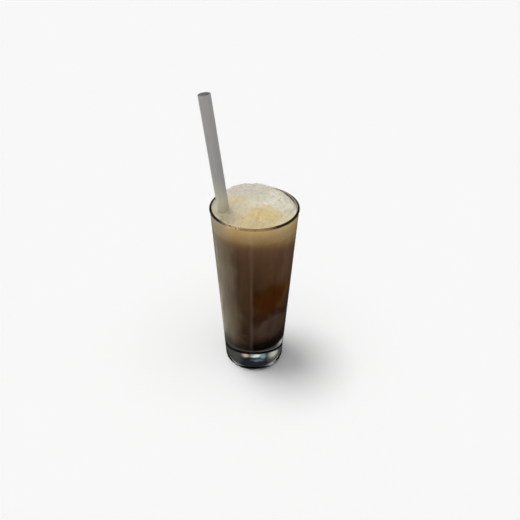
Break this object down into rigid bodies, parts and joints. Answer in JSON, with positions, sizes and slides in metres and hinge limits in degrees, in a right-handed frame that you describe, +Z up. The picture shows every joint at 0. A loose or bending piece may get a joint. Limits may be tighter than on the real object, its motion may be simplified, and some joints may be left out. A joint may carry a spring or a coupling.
{
  "type": "ice cream float",
  "caption": "Tall tapered glass of dark milky soda under a mounded cream foam head, with a wide frosted straw leaning out to the left.",
  "frame": {"origin": "centre of the tumbler's flat foot, on the surface that it stands on", "axes": "+Z up along the tumbler's axis; -Y towards the viewer of the picture; +X to the viewer's right, so the straw leans to -X"},
  "size_m": [0.0824, 0.0786, 0.2741],
  "materials": {
    "glass": "clear, polished",
    "drink": "wet, cloudy dark brown",
    "foam": "moist cream-coloured foam",
    "straw": "frosted, translucent grey-white"
  },
  "bodies": {
    "root": {"glass": "glass", "drink": "drink", "foam_head": "foam", "straw": "straw"}
  },
  "joints": []
}
